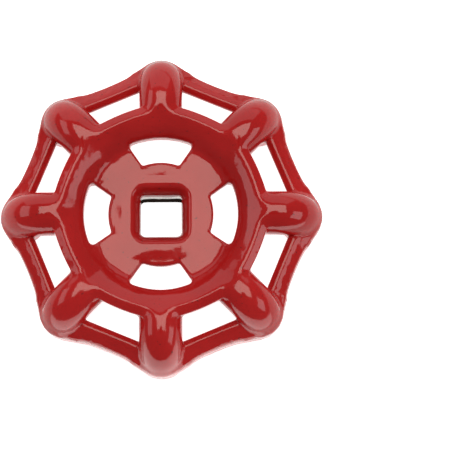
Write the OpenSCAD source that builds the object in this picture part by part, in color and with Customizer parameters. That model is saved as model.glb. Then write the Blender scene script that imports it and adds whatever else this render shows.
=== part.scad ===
// Die-cast valve handwheel with eight half-round spokes, a scalloped rim and a sunk bowl.
// The wheel lies on its hub: +Z is up out of the bowl, and the origin is the centre of the
// square socket on the hub's bottom face.

/* [Wheel] */
// Diameter over the tips of two opposite lobes, enamel included
wheel_d = 65; // [60:0.5:70]
// Height from the hub's bottom face to the crest of the spokes
wheel_h = 16.5; // [16:0.1:18]
// Thickness of the walls, enamel included
wall = 2.6; // [2.4:0.1:2.8]
// Thickness of the enamel
enamel_t = 0.25; // [0.15:0.05:0.3]

/* [Spokes] */
// Number of spokes, one under each lobe
spoke_count = 8; // [8:1:8]
// Width of a spoke
spoke_w = 8.5; // [8:0.1:9]
// Radius of the bend from the top of a spoke down into the skirt
bend_r = 5; // [4.6:0.1:5.4]
// How far the skirt stands out past the end of a spoke
skirt_lip = 0.2; // [0.15:0.05:0.3]

/* [Rim] */
// Radius of the rim halfway between two lobes
valley_r = 29.2; // [28.8:0.1:29.6]
// Radius of the hollow curve of the rim between two lobes
valley_curve_r = 40; // [35:1:60]
// Width of the rim bar, seen from above
rim_w = 3.9; // [3.6:0.1:4.2]
// Height of the crest of the rim bar
rim_z = 10.5; // [10:0.1:11]
// Height of the skirt's bottom edge
skirt_z = 2.5; // [1.5:0.1:3.5]

/* [Bowl] */
// Outer radius of the ring round the bowl
ring_r = 21; // [20.6:0.1:21.4]
// Radius of the ring's crest
crest_r = 19.3; // [19:0.1:19.6]
// Height of the ring's crest
crest_z = 16; // [15.6:0.1:16]
// Radius of the bowl's flat floor
floor_r = 14.3; // [13.8:0.1:14.6]
// Height of the bowl's floor
floor_z = 11.9; // [11.5:0.1:12.2]
// Number of windows in the bowl
window_count = 4; // [4:1:4]
// Inner radius of the windows
window_in_r = 10.4; // [10:0.1:10.8]
// Outer radius of the windows
window_out_r = 15.5; // [15.2:0.1:15.8]
// Half the angle that a window's inner edge spans
window_in_a = 21; // [19:0.5:23]
// Half the angle that a window's outer edge spans
window_out_a = 25; // [23:0.5:27]

/* [Hub] */
// Diameter of the hub below the floor
hub_d = 15; // [14.4:0.1:16]
// Width of the square socket across its flats
socket_w = 9; // [8.8:0.05:9.2]
// Width of the lead-in at the floor
lead_in_w = 12; // [11.6:0.1:12.4]
// Height at which the lead-in meets the bare socket
lead_in_z = 8.8; // [8.4:0.1:9.2]

/* [Hidden] */
$fn = 64;

// Spokes: radius and spacing, the lobe at each tip, and the bend that leads down into it
spoke_r = spoke_w / 2;
spoke_step = 360 / spoke_count;
lobe_r = spoke_r + skirt_lip;
lobe_c = wheel_d / 2 - lobe_r;
bend_c = lobe_c - bend_r;
bend_z = wheel_h - spoke_r - bend_r;
spoke_z = bend_z + bend_r;
// How far a spoke starts inside the ring's crest, and how far its end drops below the bend
root_depth = 0.8;
leg_drop = 1;
// Headroom of the channel under a spoke, above the spoke's centre line
channel_rise = spoke_r - wall;

// Rim: centre of a hollow curve, and how far the plain disc reaches past the lobes' centres
valley_c = valley_r + valley_curve_r;
disc_reach = 1.2;
// Thickness of the rim bar, distances of its flat crest and outer edge in from the valley, and how far
// its faces drop below the crest
bar_t = 2.7;
crest_in = 3;
crest_out = 1.6;
edge_in = 0.2;
inner_drop = 1.3;
outer_drop = 0.9;
skirt_drop = 2.8;
root_drop = 0.6;
flange_z = rim_z - bar_t;

// Bowl: thickness of the floor, fillet between floor and wall, roundings and depth of the ring
floor_t = 2.4;
fillet_r = 3;
crest_round = 1.5;
ring_round = 1;
ring_t = 3.9;
ring_bevel = 0.9;
wall_shift = 0.6;

// How far cutting shapes pass the faces that they cut
past = 1;
side_reach = 3;
cut_below = 5;

// Points along an arc, from angle a0 to angle a1
function arc(c, r, a0, a1, n = 3) =
    [for (i = [0:n]) c + r * [cos(a0 + (a1 - a0) * i / n), sin(a0 + (a1 - a0) * i / n)]];

// Half section of the bowl: floor, flared wall and rolled ring
function bowl_section() = concat(
    [[0, floor_z]],
    arc([floor_r, floor_z + fillet_r], fillet_r, 270, 312, 2),
    arc([crest_r, crest_z - crest_round], crest_round, 135, 65),
    arc([ring_r - ring_round, crest_z - 2 * ring_round], ring_round, 45, 0, 1),
    [[ring_r, crest_z - ring_t + ring_bevel]],
    [[ring_r - ring_round, crest_z - ring_t]],
    [[crest_r - wall_shift, crest_z - ring_t]],
    arc([floor_r + wall_shift, floor_z - floor_t + fillet_r], fillet_r, 310, 270, 2),
    [[0, floor_z - floor_t]]
);

// Half section that limits the rim bar: inner slope, flat crest, outer drop, and room for the skirt
function rim_section() = [
    [ring_r + past, skirt_z - past],
    [ring_r + past, rim_z - inner_drop - root_drop],
    [valley_r - rim_w, rim_z - inner_drop],
    [valley_r - crest_in, rim_z],
    [valley_r - crest_out, rim_z],
    [valley_r - edge_in, rim_z - outer_drop],
    [valley_r + crest_out, rim_z - skirt_drop],
    [wheel_d / 2 + past, rim_z - skirt_drop - edge_in],
    [wheel_d / 2 + past, skirt_z - past]
];

// A 2-D shape grown outward by g
module grown(g) {
    if (g != 0)
        offset(delta = g) children();
    else
        children();
}

// Copies for every spoke
module each_spoke() {
    for (k = [0:spoke_count - 1])
        rotate([0, 0, k * spoke_step]) children();
}

// Stands a 2-D shape up in the XZ plane, centred on that plane
module standing(depth) {
    translate([0, depth / 2, 0])
        rotate([90, 0, 0])
            linear_extrude(height = depth) children();
}

// Scalloped outline of the rim, moved outward by g
module rim_outline(g) {
    difference() {
        circle(r = lobe_c + disc_reach + g);
        for (k = [0:spoke_count - 1])
            rotate((k + 0.5) * spoke_step)
                translate([valley_c, 0]) circle(r = valley_curve_r - g, $fn = 180);
    }
    for (k = [0:spoke_count - 1])
        rotate(k * spoke_step)
            translate([lobe_c, 0]) circle(r = lobe_r + g);
}

// Bowl with the ring round it, before its windows are cut
module bowl(g) {
    rotate_extrude()
        intersection() {
            grown(g) polygon(bowl_section());
            translate([0, -past]) square([wheel_d, wheel_h + 2 * past]);
        }
}

// Hub under the floor
module hub(g) {
    cylinder(r = hub_d / 2 + g, h = floor_z - floor_t / 2);
}

// Scalloped rim bar with its skirt, open below
module rim(g) {
    difference() {
        intersection() {
            translate([0, 0, skirt_z - g])
                linear_extrude(height = wheel_h) rim_outline(g);
            rotate_extrude()
                grown(g) polygon(rim_section());
        }
        translate([0, 0, -cut_below])
            linear_extrude(height = wheel_h * 2) rim_outline(-rim_w - g);
        translate([0, 0, -cut_below])
            linear_extrude(height = flange_z + cut_below - g) rim_outline(-wall - g);
    }
}

// Half-round spoke: straight over the ring, then bent down onto the skirt
module spoke(g) {
    r = spoke_r + g;
    start = crest_r - root_depth - g;
    translate([start, 0, spoke_z])
        rotate([0, 90, 0])
            cylinder(r = r, h = bend_c - start);
    translate([bend_c, 0, bend_z])
        rotate([90, 0, 0])
            rotate_extrude(angle = 90)
                translate([bend_r, 0]) circle(r = r);
    translate([lobe_c, 0, bend_z - leg_drop - g])
        cylinder(r = r, h = leg_drop + g);
}

// Square-cornered channel under a spoke, open downward
module spoke_channel(g) {
    reach = bend_r + channel_rise - g;
    start = ring_r - wall + g;
    standing(2 * (spoke_r - wall - g)) {
        translate([start, -cut_below])
            square([bend_c - start, bend_z + reach + cut_below]);
        translate([bend_c, bend_z]) circle(r = reach);
        translate([start, -cut_below])
            square([bend_c + reach - start, bend_z + cut_below]);
    }
}

// Four-sided lead-in, narrowing downward
module lead_in(g) {
    side = [
        [-socket_w / 2 + g, lead_in_z],
        [-lead_in_w / 2 + g, floor_z + past],
        [lead_in_w / 2 - g, floor_z + past],
        [socket_w / 2 - g, lead_in_z]
    ];
    intersection() {
        standing(lead_in_w + past) polygon(side);
        rotate([0, 0, 90]) standing(lead_in_w + past) polygon(side);
    }
}

// Outline of one window in the bowl, smaller all round by g
module window_outline(g) {
    near = window_in_r * [cos(window_in_a), sin(window_in_a)];
    far = window_out_r * [cos(window_out_a), sin(window_out_a)];
    side = (far - near) / norm(far - near);
    start = near - side_reach * side - [0, g];
    end = far + side_reach * side - [0, g];
    difference() {
        intersection() {
            circle(r = window_out_r - g);
            polygon([start, end, [end[0], -end[1]], [start[0], -start[1]]]);
        }
        circle(r = window_in_r + g);
    }
}

// Windows through the bowl, in line with the spokes beside the socket's flats
module windows(g) {
    for (k = [0:window_count - 1])
        rotate([0, 0, k * 360 / window_count])
            translate([0, 0, floor_z - floor_t - cut_below])
                linear_extrude(height = wheel_h) window_outline(g);
}

// Square prism of the socket
module socket(height) {
    translate([-socket_w / 2, -socket_w / 2, -cut_below])
        cube([socket_w, socket_w, height + cut_below]);
}

// The whole wheel with every outer face moved outward by g
module wheel(g) {
    difference() {
        union() {
            bowl(g);
            hub(g);
            rim(g);
            each_spoke() spoke(g);
        }
        windows(g);
        each_spoke() spoke_channel(g);
        lead_in(g);
        socket(floor_z);
    }
}

module wheel_casting() {
    color("dimgray") wheel(-enamel_t);
}

// Enamel on every face but the socket's walls and the hub's bottom face
module enamel_coat() {
    color("firebrick")
        difference() {
            wheel(0);
            wheel(-enamel_t);
            translate([-hub_d, -hub_d, -cut_below])
                cube([2 * hub_d, 2 * hub_d, cut_below]);
        }
}

wheel_casting();
enamel_coat();
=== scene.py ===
"""A red enamelled valve handwheel: a cast wheel with eight half-round spokes, a scalloped rim, a sunk bowl
with four windows and a square socket. The wheel is one smooth field of distances, in millimetres. The
enamel is a closed skin on that field's surface, and the casting fills it a little below the skin."""
import math

import bmesh
import bpy
import numpy as np
from mathutils import Matrix, Vector


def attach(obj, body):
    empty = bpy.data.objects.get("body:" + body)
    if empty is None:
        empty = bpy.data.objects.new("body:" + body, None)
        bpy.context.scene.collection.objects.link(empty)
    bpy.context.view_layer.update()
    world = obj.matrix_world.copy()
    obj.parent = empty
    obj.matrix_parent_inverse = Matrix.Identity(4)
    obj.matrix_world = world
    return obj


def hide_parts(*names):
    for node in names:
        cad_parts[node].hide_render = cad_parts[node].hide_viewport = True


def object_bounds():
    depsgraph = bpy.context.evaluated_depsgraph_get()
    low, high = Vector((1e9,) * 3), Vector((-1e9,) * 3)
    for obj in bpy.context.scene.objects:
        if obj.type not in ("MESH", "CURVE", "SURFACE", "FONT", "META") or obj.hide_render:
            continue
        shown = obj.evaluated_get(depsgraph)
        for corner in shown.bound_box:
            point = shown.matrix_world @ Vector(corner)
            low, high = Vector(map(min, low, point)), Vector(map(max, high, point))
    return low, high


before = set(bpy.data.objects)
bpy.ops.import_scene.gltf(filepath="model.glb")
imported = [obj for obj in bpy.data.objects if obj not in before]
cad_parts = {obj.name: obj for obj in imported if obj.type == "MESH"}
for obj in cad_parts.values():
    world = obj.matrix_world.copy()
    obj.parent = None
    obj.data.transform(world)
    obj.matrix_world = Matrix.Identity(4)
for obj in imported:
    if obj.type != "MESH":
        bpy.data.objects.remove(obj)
cad_low, cad_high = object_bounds()

MM = 0.001
SPOKES = 8
STEP = 2 * math.pi / SPOKES

# ---- Sizes in millimetres: the wheel's radius and height come from the frame's box ----
WHEEL_R = (cad_high[0] - cad_low[0]) / 2 / MM
WHEEL_H = cad_high[2] / MM
ENAMEL_T = 0.2
# Gap between the enamel's inner face and the casting
ENAMEL_GAP = 0.03

# Spokes, and the lobe that ends each of them
SPOKE_R = 4.35
BEND_R = 5.0
SPOKE_WALL = 2.5
LEG_DROP = 1.0
LOBE_C = WHEEL_R - SPOKE_R - 0.2
BEND_C = LOBE_C - BEND_R
SPOKE_Z = WHEEL_H - SPOKE_R
BEND_Z = SPOKE_Z - BEND_R

# Rim bar and skirt
VALLEY_R = 29.1
VALLEY_CURVE_R = 55.0
LOBE_BLEND = 3.4
RIM_IN_R = 25.3
RIM_W = 3.9
SKIRT_Z = 2.5

# Bowl, and how far its floor sinks beside a window
FLOOR_R = 14.6
FLOOR_Z = 11.9
FLOOR_T = 2.5
FLOOR_DROOP = 0.42
RIDGE_R = 17.3
RIDGE_Z = 14.75
CREST_R = 19.3
CREST_Z = 15.9
RING_R = 21.3

WINDOW_IN_R = 10.6
WINDOW_OUT_R = 15.45
WINDOW_CORNER_R = 0.95
WINDOW_SIDE = ((9.7, 3.55), (14.1, 6.6))

# Hub, socket, and the mouth of the enamel in the socket
HUB_R = 7.5
SOCKET_W = 8.8
BEAD_T = 0.1
SOCKET_CORNER_R = 0.8
LEAD_IN_W = 11.7
LEAD_IN_CORNER_R = 2.4
MOUTH_Z = 8.4
PAINT_Z = 7.3

# ---- Meshing: grid steps, the turn in degrees over which an edge is split, and passes ----
# Both grid steps were found by trial to give a closed mesh; another size or step needs that checked again
ENAMEL_GRID = 1.0
CASTING_GRID = 0.77
SHARP_TURN = 17
UNDERSIDE_TURN = 45
SHORTEST_EDGE = 0.28
PASSES = 3

# ---- Stage, in metres ----
PANEL_FAR = 0.8
FLOOR_DEPTH = 0.1 * MM
FRONT_GLOW_R = 0.3


# ---- Distances ----
def smooth_min(a, b, k):
    h = np.maximum(k - np.abs(a - b), 0.0) / k
    return np.minimum(a, b) - h * h * k / 4


def smooth_max(a, b, k):
    return -smooth_min(-a, -b, k)


def round_box(x, y, half_x, half_y, r):
    qx = np.abs(x) - half_x + r
    qy = np.abs(y) - half_y + r
    return np.hypot(np.maximum(qx, 0), np.maximum(qy, 0)) + np.minimum(np.maximum(qx, qy), 0) - r


def round_polygon(x, y, points, r=0.0):
    """Signed distance to a polygon whose corners are rounded outward by r."""
    best = np.full(x.shape, 1e9)
    sign = np.ones(x.shape)
    previous = points[-1]
    for point in points:
        ex, ey = previous[0] - point[0], previous[1] - point[1]
        wx, wy = x - point[0], y - point[1]
        t = np.clip((wx * ex + wy * ey) / (ex * ex + ey * ey), 0, 1)
        best = np.minimum(best, (wx - ex * t) ** 2 + (wy - ey * t) ** 2)
        above = y >= point[1]
        below_previous = y < previous[1]
        left = ex * wy > ey * wx
        flip = (above & below_previous & left) | (~above & ~below_previous & ~left)
        sign = np.where(flip, -sign, sign)
        previous = point
    return sign * np.sqrt(best) - r


def beyond_line(x, y, start, end):
    """Signed distance to a line, positive to the left of the way from start to end."""
    dx, dy = end[0] - start[0], end[1] - start[1]
    return ((y - start[1]) * dx - (x - start[0]) * dy) / math.hypot(dx, dy)


def folded(x, y, copies):
    """Coordinates along and across the nearest of the evenly spaced directions."""
    r = np.hypot(x, y)
    a = np.arctan2(y, x)
    step = 2 * math.pi / copies
    a = a - step * np.round(a / step)
    return r * np.cos(a), np.abs(r * np.sin(a))


# ---- The wheel ----
def floor_droop(u, v):
    """How far the bowl's floor sinks on its way from the socket to a window."""
    near = np.clip((u - 6.8) / 3.4, 0, 1)
    beside = np.clip((8.6 - v) / 4.4, 0, 1)
    return FLOOR_DROOP * near * near * (3 - 2 * near) * beside * beside * (3 - 2 * beside)


def bowl_surface(r, ring_r, z, droop):
    """Positive above the bowl's floor and flared wall."""
    floor = z - FLOOR_Z + droop
    wall = beyond_line(0.8 * r + 0.2 * ring_r, z, (FLOOR_R, FLOOR_Z), (RIDGE_R, RIDGE_Z))
    bevel = beyond_line(ring_r, z, (RIDGE_R, RIDGE_Z), (CREST_R, CREST_Z))
    return smooth_min(floor, smooth_max(wall, bevel, 0.25), 0.5)


def ring(r, z):
    outline = [
        (13.8, FLOOR_Z - FLOOR_T + 0.3),
        (15.4, FLOOR_Z - FLOOR_T + 0.3),
        (18.6, 12.2),
        (RING_R - 0.9, 12.6),
        (RING_R - 0.35, 13.2),
        (RING_R - 0.3, 14.7),
        (CREST_R + 0.1, CREST_Z - 0.15),
        (CREST_R - 0.7, CREST_Z - 0.15),
        (14.2, 12.6),
    ]
    return round_polygon(r, z, outline, 0.3)


def rim_outline(u, v):
    """Signed distance in plan to the scalloped outline, negative inside."""
    lobe = np.hypot(u - LOBE_C, v) - SPOKE_R
    centre = VALLEY_R + VALLEY_CURVE_R
    du = u - centre * math.cos(STEP / 2)
    dv = v - centre * math.sin(STEP / 2)
    valley = np.maximum(VALLEY_CURVE_R - np.hypot(du, dv), np.hypot(u, v) - LOBE_C - 2.1)
    return smooth_min(lobe, valley, LOBE_BLEND)


def rim(u, v, along_valley, z):
    """The rim bar and its skirt, drawn over the distance in from the scalloped outline. Seen from above the
    bar's inner edge is straight."""
    inside = -rim_outline(u, v)
    width = np.maximum(inside + along_valley - RIM_IN_R, 0.5 * RIM_W)
    across = inside * RIM_W / width
    wall = [(0.3, SKIRT_Z + 0.3), (0.3, 7.4), (1.9, 8.4), (1.9, SKIRT_Z + 0.3)]
    skirt = round_polygon(inside, z, wall, 0.3)
    bar = [(0.8, 7.2), (0.8, 8.25), (2.1, 9.35), (2.65, 9.65), (3.15, 9.2), (3.15, 8.7), (2.4, 8.4)]
    return smooth_min(skirt, round_polygon(across, z, bar, 0.75), 0.6)


def under_spoke(u, z):
    """Signed distance to the space under the middle line of a spoke."""
    qu, qz = u - BEND_C, z - BEND_Z
    straight = np.maximum(u - LOBE_C, z - SPOKE_Z)
    corner = np.hypot(np.maximum(qu, 0), np.maximum(qz, 0)) - BEND_R
    return np.where((qu > 0) & (qz > 0), corner, straight)


def spoke(u, v, z):
    under = under_spoke(u, z)
    tube = np.hypot(under, v) - SPOKE_R
    legs = np.maximum(np.maximum(v - SPOKE_R, under), -LEG_DROP - under)
    body = np.minimum(tube, legs)
    low_end = SKIRT_Z - z
    root = 17.2 - u
    return smooth_max(smooth_max(body, root, 1.5), low_end, 0.4)


def spoke_hollow(u, v, z):
    half = SPOKE_R - SPOKE_WALL
    across = v - half
    hollow = smooth_max(under_spoke(u, z) - half, across, 1.6)
    return smooth_max(hollow, RING_R - 1.6 - u, 0.8)


def window(u, v):
    corner = WINDOW_CORNER_R
    out = np.hypot(u, v) - (WINDOW_OUT_R - corner)
    inner = WINDOW_IN_R + 0.4 - np.hypot(u, v)
    side = beyond_line(u, v, *WINDOW_SIDE) + corner
    outside = np.hypot(np.maximum(out, 0), np.maximum(side, 0))
    wide = outside + np.minimum(np.maximum(out, side), 0) - corner
    return smooth_max(wide, inner - 0.4, 0.5)


def socket(x, y):
    return round_box(x, y, SOCKET_W / 2, SOCKET_W / 2, SOCKET_CORNER_R)


def lead_in(x, y, z):
    """The painted mouth of the socket, narrowing downward in a curve, and the hole below it."""
    t = np.clip((z - MOUTH_Z) / (FLOOR_Z - MOUTH_Z), 0, 1.4)
    tight = SOCKET_W / 2 - ENAMEL_T - BEAD_T
    half = tight + (LEAD_IN_W / 2 - tight) * t ** 1.5
    corner = SOCKET_CORNER_R + (LEAD_IN_CORNER_R - SOCKET_CORNER_R) * np.minimum(t, 1)
    return round_box(x, y, half, half, corner) * 0.85


def body(p):
    """The enamelled wheel, with the hub running on below its bottom face and the socket a little tight."""
    x, y, z = p[..., 0], p[..., 1], p[..., 2]
    r = np.hypot(x, y)
    u, v = folded(x, y, SPOKES)
    turn = np.exp(-1j * STEP / 2) * (u + 1j * v)
    ring_r = 0.55 * r + 0.45 * turn.real
    floor = round_box(r, z - FLOOR_Z + FLOOR_T / 2, FLOOR_R + 1, FLOOR_T / 2, 0.4)
    whole = smooth_min(ring(ring_r, z), floor, 0.8)
    hub = round_box(r, z - 5.0, HUB_R, 6.5, 0.5)
    whole = smooth_min(whole, hub, 1.4)
    whole = smooth_min(whole, rim(u, v, turn.real, z), 0.4)
    whole = smooth_min(whole, spoke(u, v, z), 0.7)
    wu, wv = folded(x, y, 4)
    whole = smooth_max(whole, bowl_surface(r, ring_r, z, floor_droop(wu, wv)), 0.7)
    whole = smooth_max(whole, -spoke_hollow(u, v, z), 0.8)
    whole = smooth_max(whole, -window(wu, wv), 0.7)
    return smooth_max(whole, -lead_in(x, y, z), 0.6)


def casting(p):
    """The bare casting: the wheel less its enamel, cut flat below the hub and broached square."""
    x, y, z = p[..., 0], p[..., 1], p[..., 2]
    cut = smooth_max(-z, -socket(x, y), 0.2)
    return smooth_max(body(p) + ENAMEL_T + ENAMEL_GAP, cut, 0.2)


def gradient(field, p, step=0.02):
    parts = []
    for axis in range(3):
        d = np.zeros(3)
        d[axis] = step
        parts.append(field(p + d) - field(p - d))
    g = np.stack(parts, axis=-1)
    size = np.linalg.norm(g, axis=-1, keepdims=True)
    return g / np.maximum(size, 1e-9), size[..., 0] / 2 / step


# ---- Meshing ----
def grid_lines(low, high, step):
    count = int(math.ceil((high - low) / step)) + 1
    return np.linspace(low, high, count)


def sampled(field, step):
    """Grid lines along each axis, and the field on that grid."""
    reach = WHEEL_R + 2 * step
    xs = grid_lines(-reach, reach, step)
    zs = grid_lines(-2 * step - 1.5, WHEEL_H + 2 * step, step)
    value = np.empty((len(xs), len(xs), len(zs)))
    yy, zz = np.meshgrid(xs, zs, indexing="ij")
    for i, x in enumerate(xs):
        value[i] = field(np.stack([np.full(yy.shape, x), yy, zz], axis=-1))
    return (xs, xs, zs), value


def edge_crossings(lines, value, axis):
    """Where the surface crosses the grid's edges along one axis: lower corner of each edge and point."""
    here = [slice(None)] * 3
    there = [slice(None)] * 3
    here[axis], there[axis] = slice(None, -1), slice(1, None)
    a, b = value[tuple(here)], value[tuple(there)]
    corner = np.argwhere((a < 0) != (b < 0))
    at = tuple(corner.T)
    share = a[at] / (a[at] - b[at])
    point = np.stack([lines[k][corner[:, k]] for k in range(3)], axis=1)
    point[:, axis] += share * (lines[axis][1] - lines[axis][0])
    return corner, point, a[at] < 0


def surface_mesh(field, step):
    """Vertices and triangles of the surface where the field is zero. Each vertex is the point of its grid
    cell that fits the surface's tangent planes best, so that it lies on an edge where there is one."""
    lines, value = sampled(field, step)
    cells = np.array(value.shape) - 1
    total = int(cells.prod())
    count = np.zeros(total)
    middle = np.zeros((total, 3))
    planes = []
    sheets = []
    for axis in range(3):
        corner, point, leaving = edge_crossings(lines, value, axis)
        normal, _ = gradient(field, point)
        around = []
        j, k = (axis + 1) % 3, (axis + 2) % 3
        for dj, dk in ((0, 0), (-1, 0), (-1, -1), (0, -1)):
            cell = corner.copy()
            cell[:, j] += dj
            cell[:, k] += dk
            flat = np.ravel_multi_index(cell.T, cells)
            around.append(flat)
            count += np.bincount(flat, minlength=total)
            for n in range(3):
                middle[:, n] += np.bincount(flat, point[:, n], total)
            planes.append((flat, normal, (normal * point).sum(1)))
        quad = np.stack(around, axis=1)
        quad[~leaving] = quad[~leaving][:, ::-1]
        sheets.append(quad)
    used = np.flatnonzero(count)
    number = np.full(total, -1)
    number[used] = np.arange(len(used))
    middle = middle[used] / count[used][:, None]
    matrix = np.zeros((len(used), 3, 3))
    vector = np.zeros((len(used), 3))
    for flat, normal, offset in planes:
        row = number[flat]
        rest = offset - (normal * middle[row]).sum(1)
        for m in range(3):
            vector[:, m] += np.bincount(row, normal[:, m] * rest, len(used))
            for n in range(3):
                matrix[:, m, n] += np.bincount(row, normal[:, m] * normal[:, n], len(used))
    matrix += 0.08 * np.eye(3)
    shift = np.linalg.solve(matrix, vector[:, :, None])[:, :, 0]
    vertices = drawn_on(field, middle + np.clip(shift, -0.7 * step, 0.7 * step))
    return vertices, cut_in_two(vertices, number[np.vstack(sheets)])


def edge_code(a, b, size):
    return np.minimum(a, b) * size + np.maximum(a, b)


def cut_in_two(vertices, quads):
    """Two triangles for each quad, cut along its shorter diagonal unless another quad has that edge too."""
    a, b, c, d = quads.T
    size = len(vertices)
    one_way = np.linalg.norm(vertices[a] - vertices[c], axis=1)
    other_way = np.linalg.norm(vertices[b] - vertices[d], axis=1)
    first = one_way < other_way
    diagonal = np.where(first, edge_code(a, c, size), edge_code(b, d, size))
    sides = edge_code(quads, np.roll(quads, -1, axis=1), size)
    _, which, count = np.unique(diagonal, return_inverse=True, return_counts=True)
    first ^= (count[which] > 1) | np.isin(diagonal, sides)
    one = np.where(first, (a, b, c), (a, b, d)).T
    two = np.where(first, (a, c, d), (b, c, d)).T
    return np.vstack([one, two])


def drawn_on(field, vertices):
    """Every vertex moved along the slope onto the surface."""
    p = vertices.copy()
    for _ in range(4):
        normal, slope = gradient(field, p)
        move = field(p) / np.maximum(slope, 0.3)
        p = p - normal * np.clip(move, -0.15, 0.15)[:, None]
    return p


def edge_numbers(triangles):
    """The unique edges, and each triangle's three edges as rows of them."""
    size = int(triangles.max()) + 1
    codes = edge_code(triangles, np.roll(triangles, -1, axis=1), size)
    code, which = np.unique(codes, return_inverse=True)
    return np.stack([code // size, code % size], axis=1), which.reshape(-1, 3)


def corners_turned(triangles, others, turn):
    """The triangles' corners, and a value for each edge, turned round so that corner turn comes first."""
    order = (np.arange(3) + turn[:, None]) % 3
    return np.take_along_axis(triangles, order, axis=1), np.take_along_axis(others, order, axis=1)


def refined(field, vertices, triangles, turn, shortest):
    """Splits each edge along which the surface turns by more than so many degrees, or by more than
    UNDERSIDE_TURN where it faces down."""
    normal, _ = gradient(field, vertices)
    edges, which = edge_numbers(triangles)
    along = (normal[edges[:, 0]] * normal[edges[:, 1]]).sum(1)
    turn = np.where(normal[edges, 2].sum(1) < -0.6, UNDERSIDE_TURN, turn)
    length = np.linalg.norm(vertices[edges[:, 0]] - vertices[edges[:, 1]], axis=1)
    split = (along < np.cos(np.radians(turn))) & (length > shortest)
    middle = drawn_on(field, vertices[edges[split]].mean(1))
    number = np.full(len(edges), -1)
    number[split] = len(vertices) + np.arange(len(middle))
    new = number[which]
    marks = (new >= 0).sum(1)
    turn_to = np.where(marks == 2, (np.argmin(new, axis=1) + 1) % 3, np.argmax(new >= 0, axis=1))
    t, new = corners_turned(triangles, new, turn_to)
    parts = [t[marks == 0]]
    for count, pieces in ((1, "adc dbc"), (2, "dbe ade aec"), (3, "adf dbe fec def")):
        corner = dict(zip("abcdef", np.hstack([t, new])[marks == count].T))
        for piece in pieces.split():
            parts.append(np.stack([corner[letter] for letter in piece], axis=1))
    return np.vstack([vertices, middle]), np.vstack(parts)


def clipped(vertices, triangles, keep):
    """The part of the surface where keep is positive, cut cleanly along its zero line."""
    keep = np.where(np.abs(keep) < 1e-3, 1e-3, keep)
    edges, which = edge_numbers(triangles)
    a, b = keep[edges[:, 0]], keep[edges[:, 1]]
    crossed = (a > 0) != (b > 0)
    share = (a / np.where(crossed, a - b, 1))[crossed][:, None]
    cut = vertices[edges[crossed, 0]] * (1 - share) + vertices[edges[crossed, 1]] * share
    number = np.full(len(edges), -1)
    number[crossed] = len(vertices) + np.arange(len(cut))
    kept = keep[triangles] > 0
    corners = kept.sum(1)
    turn = np.where(corners == 1, np.argmax(kept, axis=1), np.argmin(kept, axis=1))
    t, new = corners_turned(triangles, number[which], turn)
    parts = [t[corners == 3]]
    one, two = corners == 1, corners == 2
    parts.append(np.stack([t[one, 0], new[one, 0], new[one, 2]], axis=1))
    parts.append(np.stack([new[two, 0], t[two, 1], t[two, 2]], axis=1))
    parts.append(np.stack([new[two, 0], t[two, 2], new[two, 2]], axis=1))
    triangles = np.vstack(parts)
    used, triangles = np.unique(triangles, return_inverse=True)
    return np.vstack([vertices, cut])[used], triangles.reshape(-1, 3)


def fine_surface(field, step, passes):
    vertices, triangles = surface_mesh(field, step)
    for _ in range(passes):
        vertices, triangles = refined(field, vertices, triangles, SHARP_TURN, SHORTEST_EDGE)
    return vertices, triangles


def open_edges(triangles):
    """Edges with a triangle on one side only, in that triangle's direction."""
    ends = np.stack([triangles, np.roll(triangles, -1, axis=1)], axis=2).reshape(-1, 2)
    size = int(triangles.max()) + 1
    there = ends[:, 0] * size + ends[:, 1]
    back = ends[:, 1] * size + ends[:, 0]
    return ends[~np.isin(there, back)]


def mesh_object(name, vertices, faces, normals):
    """A piece from triangles, with a normal for each of their corners."""
    mesh = bpy.data.meshes.new(name)
    mesh.from_pydata((vertices * MM).tolist(), [], faces.tolist())
    for polygon in mesh.polygons:
        polygon.use_smooth = True
    mesh.normals_split_custom_set(normals.reshape(-1, 3).tolist())
    mesh.update()
    piece = bpy.data.objects.new(name, mesh)
    bpy.context.scene.collection.objects.link(piece)
    return piece


def paint_edge(p):
    """Positive on the enamelled faces: outside the socket's wavy paint edge and above the hub's bottom."""
    x, y, z = p[:, 0], p[:, 1], p[:, 2]
    a = np.arctan2(y, x)
    corner = np.exp(-((a - 0.72) / 0.22) ** 2)
    wave = 0.28 * np.sin(3 * a + 0.6) + 0.2 * np.sin(7 * a + 2.1)
    line = PAINT_Z + wave + 1.3 * corner
    inside_hub = round_box(x, y, HUB_R - 1, HUB_R - 1, 1)
    return np.where(inside_hub < 0, z - line, z - 0.05)


def enamel_piece():
    """A closed skin: the enamel's face, the same face sunk by its thickness, and the rims between them."""
    vertices, triangles = fine_surface(body, ENAMEL_GRID, PASSES)
    vertices, triangles = clipped(vertices, triangles, paint_edge(vertices))
    normal, _ = gradient(body, vertices)
    rim_edges = open_edges(triangles)
    a, b = rim_edges.T
    sunk = len(vertices)
    rims = np.vstack([np.stack([b, a, a + sunk], axis=1), np.stack([b, a + sunk, b + sunk], axis=1)])
    both = np.vstack([vertices, vertices - ENAMEL_T * normal])
    rim_normal = np.cross(both[rims[:, 1]] - both[rims[:, 0]], both[rims[:, 2]] - both[rims[:, 0]])
    rim_normal /= np.maximum(np.linalg.norm(rim_normal, axis=1, keepdims=True), 1e-9)
    inner = triangles[:, ::-1]
    faces = np.vstack([triangles, inner + sunk, rims])
    normals = np.concatenate([normal[triangles], -normal[inner], np.repeat(rim_normal[:, None], 3, axis=1)])
    return mesh_object("enamel", both, faces, normals)


def casting_piece():
    vertices, triangles = fine_surface(casting, CASTING_GRID, PASSES - 1)
    normal, _ = gradient(casting, vertices)
    return mesh_object("casting", vertices, triangles, normal[triangles])


# ---- Materials ----
def new_material(name):
    material = bpy.data.materials.new(name)
    material.use_nodes = True
    tree = material.node_tree
    return material, tree.nodes, tree.links, tree.nodes["Principled BSDF"]


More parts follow.
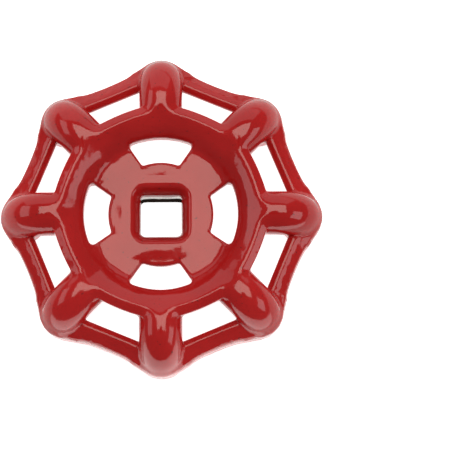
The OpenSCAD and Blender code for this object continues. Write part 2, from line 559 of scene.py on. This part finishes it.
def noise(nodes, links, place, scale, detail):
    texture = nodes.new("ShaderNodeTexNoise")
    texture.inputs["Scale"].default_value = scale
    texture.inputs["Detail"].default_value = detail
    links.new(place, texture.inputs["Vector"])
    return texture.outputs["Fac"]


def spread(nodes, links, value, low, high, to_low=0, to_high=1):
    """The value moved from low..high to to_low..to_high, and held within it."""
    span = nodes.new("ShaderNodeMapRange")
    span.inputs["From Min"].default_value = low
    span.inputs["From Max"].default_value = high
    span.inputs["To Min"].default_value = to_low
    span.inputs["To Max"].default_value = to_high
    links.new(value, span.inputs["Value"])
    return span.outputs["Result"]


def shaded(nodes, links, value, dark, light, low=0, high=1):
    """A colour that goes from dark to light as the value goes from low to high."""
    tone = nodes.new("ShaderNodeValToRGB")
    tone.color_ramp.elements[0].color = (*dark, 1)
    tone.color_ramp.elements[1].color = (*light, 1)
    tone.color_ramp.elements[0].position = low
    tone.color_ramp.elements[1].position = high
    links.new(value, tone.inputs["Fac"])
    return tone.outputs["Color"]


def raised(nodes, links, height, strength, distance, under=None):
    """Normals bumped by a height, on top of the bumps under it."""
    bump = nodes.new("ShaderNodeBump")
    bump.inputs["Strength"].default_value = strength
    bump.inputs["Distance"].default_value = distance
    links.new(height, bump.inputs["Height"])
    if under:
        links.new(under, bump.inputs["Normal"])
    return bump.outputs["Normal"]


def larger(nodes, links, a, b):
    node = nodes.new("ShaderNodeMath")
    node.operation = "MAXIMUM"
    links.new(a, node.inputs[0])
    links.new(b, node.inputs[1])
    return node.outputs["Value"]


def enamel_material():
    """Gloss red enamel: cloudy in tone and gloss, with a few dark flecks, slow waves and a fine peel."""
    material, nodes, links, shader = new_material("red_enamel")
    place = nodes.new("ShaderNodeTexCoord").outputs["Object"]
    cloud = noise(nodes, links, place, 90, 3)
    tone = shaded(nodes, links, cloud, (0.385, 0.010, 0.010), (0.445, 0.013, 0.013), 0.35, 0.65)
    fleck = spread(nodes, links, noise(nodes, links, place, 1500, 2), 0.68, 0.76)
    worn = nodes.new("ShaderNodeMix")
    worn.data_type = "RGBA"
    links.new(fleck, worn.inputs["Factor"])
    links.new(tone, worn.inputs["A"])
    worn.inputs["B"].default_value = (0.15, 0.012, 0.012, 1)
    links.new(worn.outputs["Result"], shader.inputs["Base Color"])
    waves = raised(nodes, links, noise(nodes, links, place, 190, 1), 0.8, 0.0002)
    peel = raised(nodes, links, noise(nodes, links, place, 450, 2), 0.28, 0.00012, waves)
    links.new(peel, shader.inputs["Normal"])
    links.new(spread(nodes, links, cloud, 0.3, 0.7, 0.07, 0.13), shader.inputs["Roughness"])
    shader.inputs["IOR"].default_value = 1.5
    return material


def bare_metal_material():
    """Broached metal: upright tool marks and a patchy roughness; bright and metallic at the socket's top
    and on the hub's bottom face. Lower in the socket it turns dark brown and not metallic along a wavy
    line: painted shade for the shadow under the hub that those walls mirror."""
    material, nodes, links, shader = new_material("bare_metal")
    place = nodes.new("ShaderNodeTexCoord").outputs["Object"]
    axes = nodes.new("ShaderNodeSeparateXYZ")
    links.new(place, axes.inputs["Vector"])
    stretch = nodes.new("ShaderNodeMapping")
    stretch.inputs["Scale"].default_value = (1, 1, 0.05)
    links.new(place, stretch.inputs["Vector"])
    marks = noise(nodes, links, stretch.outputs["Vector"], 2600, 3)
    stains_and_shade_edge = noise(nodes, links, place, 420, 4)
    # Height in the socket, made wavy by the noise, below which the walls carry painted shade
    height = nodes.new("ShaderNodeMath")
    height.operation = "MULTIPLY_ADD"
    height.inputs[1].default_value = 0.0022
    links.new(stains_and_shade_edge, height.inputs[0])
    links.new(axes.outputs["Z"], height.inputs[2])
    bright = spread(nodes, links, height.outputs["Value"], 0.0048, 0.0058)
    reach = []
    for axis in "XY":
        size = nodes.new("ShaderNodeMath")
        size.operation = "ABSOLUTE"
        links.new(axes.outputs[axis], size.inputs[0])
        reach.append(size.outputs["Value"])
    past_socket = spread(nodes, links, larger(nodes, links, *reach), 0.0045, 0.0048)
    # One where no shade is painted: the socket's upper walls and the hub's bottom face
    unshaded_metal = larger(nodes, links, bright, past_socket)
    streak = nodes.new("ShaderNodeMix")
    streak.data_type = "RGBA"
    streak.blend_type = "MULTIPLY"
    streak.inputs["Factor"].default_value = 0.5
    # Dark brown is painted shade on the lower socket walls; light grey is the bare metal's own colour
    tone = shaded(nodes, links, unshaded_metal, (0.035, 0.024, 0.018), (0.82, 0.78, 0.74))
    links.new(tone, streak.inputs["A"])
    links.new(marks, streak.inputs["B"])
    links.new(streak.outputs["Result"], shader.inputs["Base Color"])
    links.new(raised(nodes, links, marks, 0.4, 0.00005), shader.inputs["Normal"])
    links.new(spread(nodes, links, stains_and_shade_edge, 0, 1, 0.28, 0.5), shader.inputs["Roughness"])
    # Not metallic where the shade is painted, so those walls mirror nothing bright
    links.new(unshaded_metal, shader.inputs["Metallic"])
    shader.inputs["Specular IOR Level"].default_value = 0
    return material


# ---- Stage ----
def add_floor():
    mesh = bpy.data.meshes.new("floor")
    build = bmesh.new()
    bmesh.ops.create_grid(build, x_segments=2, y_segments=2, size=3)
    build.to_mesh(mesh)
    build.free()
    floor = bpy.data.objects.new("floor", mesh)
    bpy.context.scene.collection.objects.link(floor)
    floor.location.z = -FLOOR_DEPTH
    material, nodes, links, shader = new_material("floor_white")
    shader.inputs["Base Color"].default_value = (0.85, 0.85, 0.85, 1)
    shader.inputs["Roughness"].default_value = 0.9
    shader.inputs["Specular IOR Level"].default_value = 0
    shader.inputs["Emission Color"].default_value = (1, 1, 1, 1)
    shader.inputs["Emission Strength"].default_value = 1.0
    mesh.materials.append(material)


def add_panel(name, lean_x, lean_y, spread_x, spread_y, radiance, colour=(1, 1, 1)):
    """A soft panel that the wheel sees lean_x and lean_y degrees from straight above, towards +X and +Y,
    over spread_x by spread_y degrees."""
    direction = Vector((math.sin(math.radians(lean_x)), math.sin(math.radians(lean_y)), 0))
    direction.z = math.sqrt(max(0.0, 1 - direction.length_squared))
    light = bpy.data.lights.new(name, "AREA")
    light.shape = "RECTANGLE"
    light.color = colour
    light.size = 2 * PANEL_FAR * math.tan(math.radians(spread_x / 2))
    light.size_y = 2 * PANEL_FAR * math.tan(math.radians(spread_y / 2))
    light.energy = radiance * math.pi * light.size * light.size_y
    holder = bpy.data.objects.new(name, light)
    bpy.context.scene.collection.objects.link(holder)
    side = Vector((0, 1, 0)).cross(direction).normalized()
    holder.location = direction * PANEL_FAR
    holder.rotation_euler = Matrix((side, direction.cross(side), direction)).transposed().to_euler()
    holder.visible_camera = False


def add_lights():
    world = bpy.data.worlds.new("studio")
    world.use_nodes = True
    background = world.node_tree.nodes["Background"]
    background.inputs["Color"].default_value = (1, 1, 1, 1)
    background.inputs["Strength"].default_value = 0.14
    bpy.context.scene.world = world
    add_panel("key", 5, 10, 48, 38, 3.4, (1, 0.95, 0.86))
    add_panel("left_panel", -56, 8, 24, 44, 1.5)
    add_panel("right_panel", 56, -16, 24, 34, 2.1)
    add_panel("back_panel", -4, 66, 80, 46, 0.7)


def add_card(name, height, outer, inner, colour, glow):
    """A level ring that shows only in the wheel's reflections; a tiny inner radius makes it a disc."""
    mesh = bpy.data.meshes.new(name)
    build = bmesh.new()
    sides = 96
    rims = []
    for r in (inner, outer):
        turns = [Matrix.Rotation(2 * math.pi * k / sides, 3, "Z") for k in range(sides)]
        rims.append([build.verts.new(turn @ Vector((r, 0, 0))) for turn in turns])
    for k in range(sides):
        n = (k + 1) % sides
        build.faces.new((rims[0][k], rims[1][k], rims[1][n], rims[0][n]))
    build.to_mesh(mesh)
    build.free()
    card = bpy.data.objects.new(name, mesh)
    bpy.context.scene.collection.objects.link(card)
    card.location.z = height
    card.visible_camera = False
    card.visible_diffuse = False
    card.visible_shadow = False
    material, nodes, links, shader = new_material(name)
    shader.inputs["Base Color"].default_value = (*colour, 1)
    shader.inputs["Specular IOR Level"].default_value = 0
    shader.inputs["Emission Color"].default_value = (1, 1, 1, 1)
    shader.inputs["Emission Strength"].default_value = glow
    mesh.materials.append(material)
    return card


def add_cards():
    """Three cards that only reflections see: a ring that makes the wheel reflect a darker floor than the
    camera sees, a bright disc in front of the wheel, and a black disc overhead that notches the key."""
    add_card("floor_shade", 0.0002, 3, 1.06 * WHEEL_R * MM, (0.5, 0.5, 0.5), 0.4)
    front = add_card("front_glow", 0.0004, FRONT_GLOW_R, 0.001, (0.9, 0.9, 0.9), 1.5)
    front.location.y = -FRONT_GLOW_R - 1.04 * WHEEL_R * MM
    flag = add_card("flag", 0.56, 0.085, 0.001, (0.01, 0.01, 0.01), 0)
    flag.location.x = 0.015
    flag.location.y = -0.1


def add_camera():
    """Looks down on the wheel, tipped 10.5 degrees from straight above, with +Y at the picture's top."""
    tilt = math.radians(10.5)
    turn = math.radians(9)
    distance = 0.519
    target = Vector((0, 0, 0.5 * WHEEL_H * MM))
    back = Vector((math.sin(turn) * math.sin(tilt), -math.cos(turn) * math.sin(tilt), math.cos(tilt)))
    right = (-back).cross(Vector((0, 1, 0))).normalized()
    up = right.cross(-back)
    camera = bpy.data.cameras.new("camera")
    holder = bpy.data.objects.new("camera", camera)
    bpy.context.scene.collection.objects.link(holder)
    holder.location = target + back * distance
    holder.rotation_euler = Matrix((right, up, back)).transposed().to_euler()
    view_width = 0.095
    camera.lens = camera.sensor_width * distance / view_width
    camera.shift_x = 0.157
    camera.shift_y = -0.039
    bpy.context.scene.camera = holder


add_camera()
add_lights()
add_floor()
add_cards()
bpy.context.scene.view_settings.view_transform = "Standard"

enamel = enamel_piece()
enamel.data.materials.append(enamel_material())
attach(enamel, "root")
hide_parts("enamel_coat")

metal = casting_piece()
metal.data.materials.append(bare_metal_material())
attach(metal, "root")
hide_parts("wheel_casting")
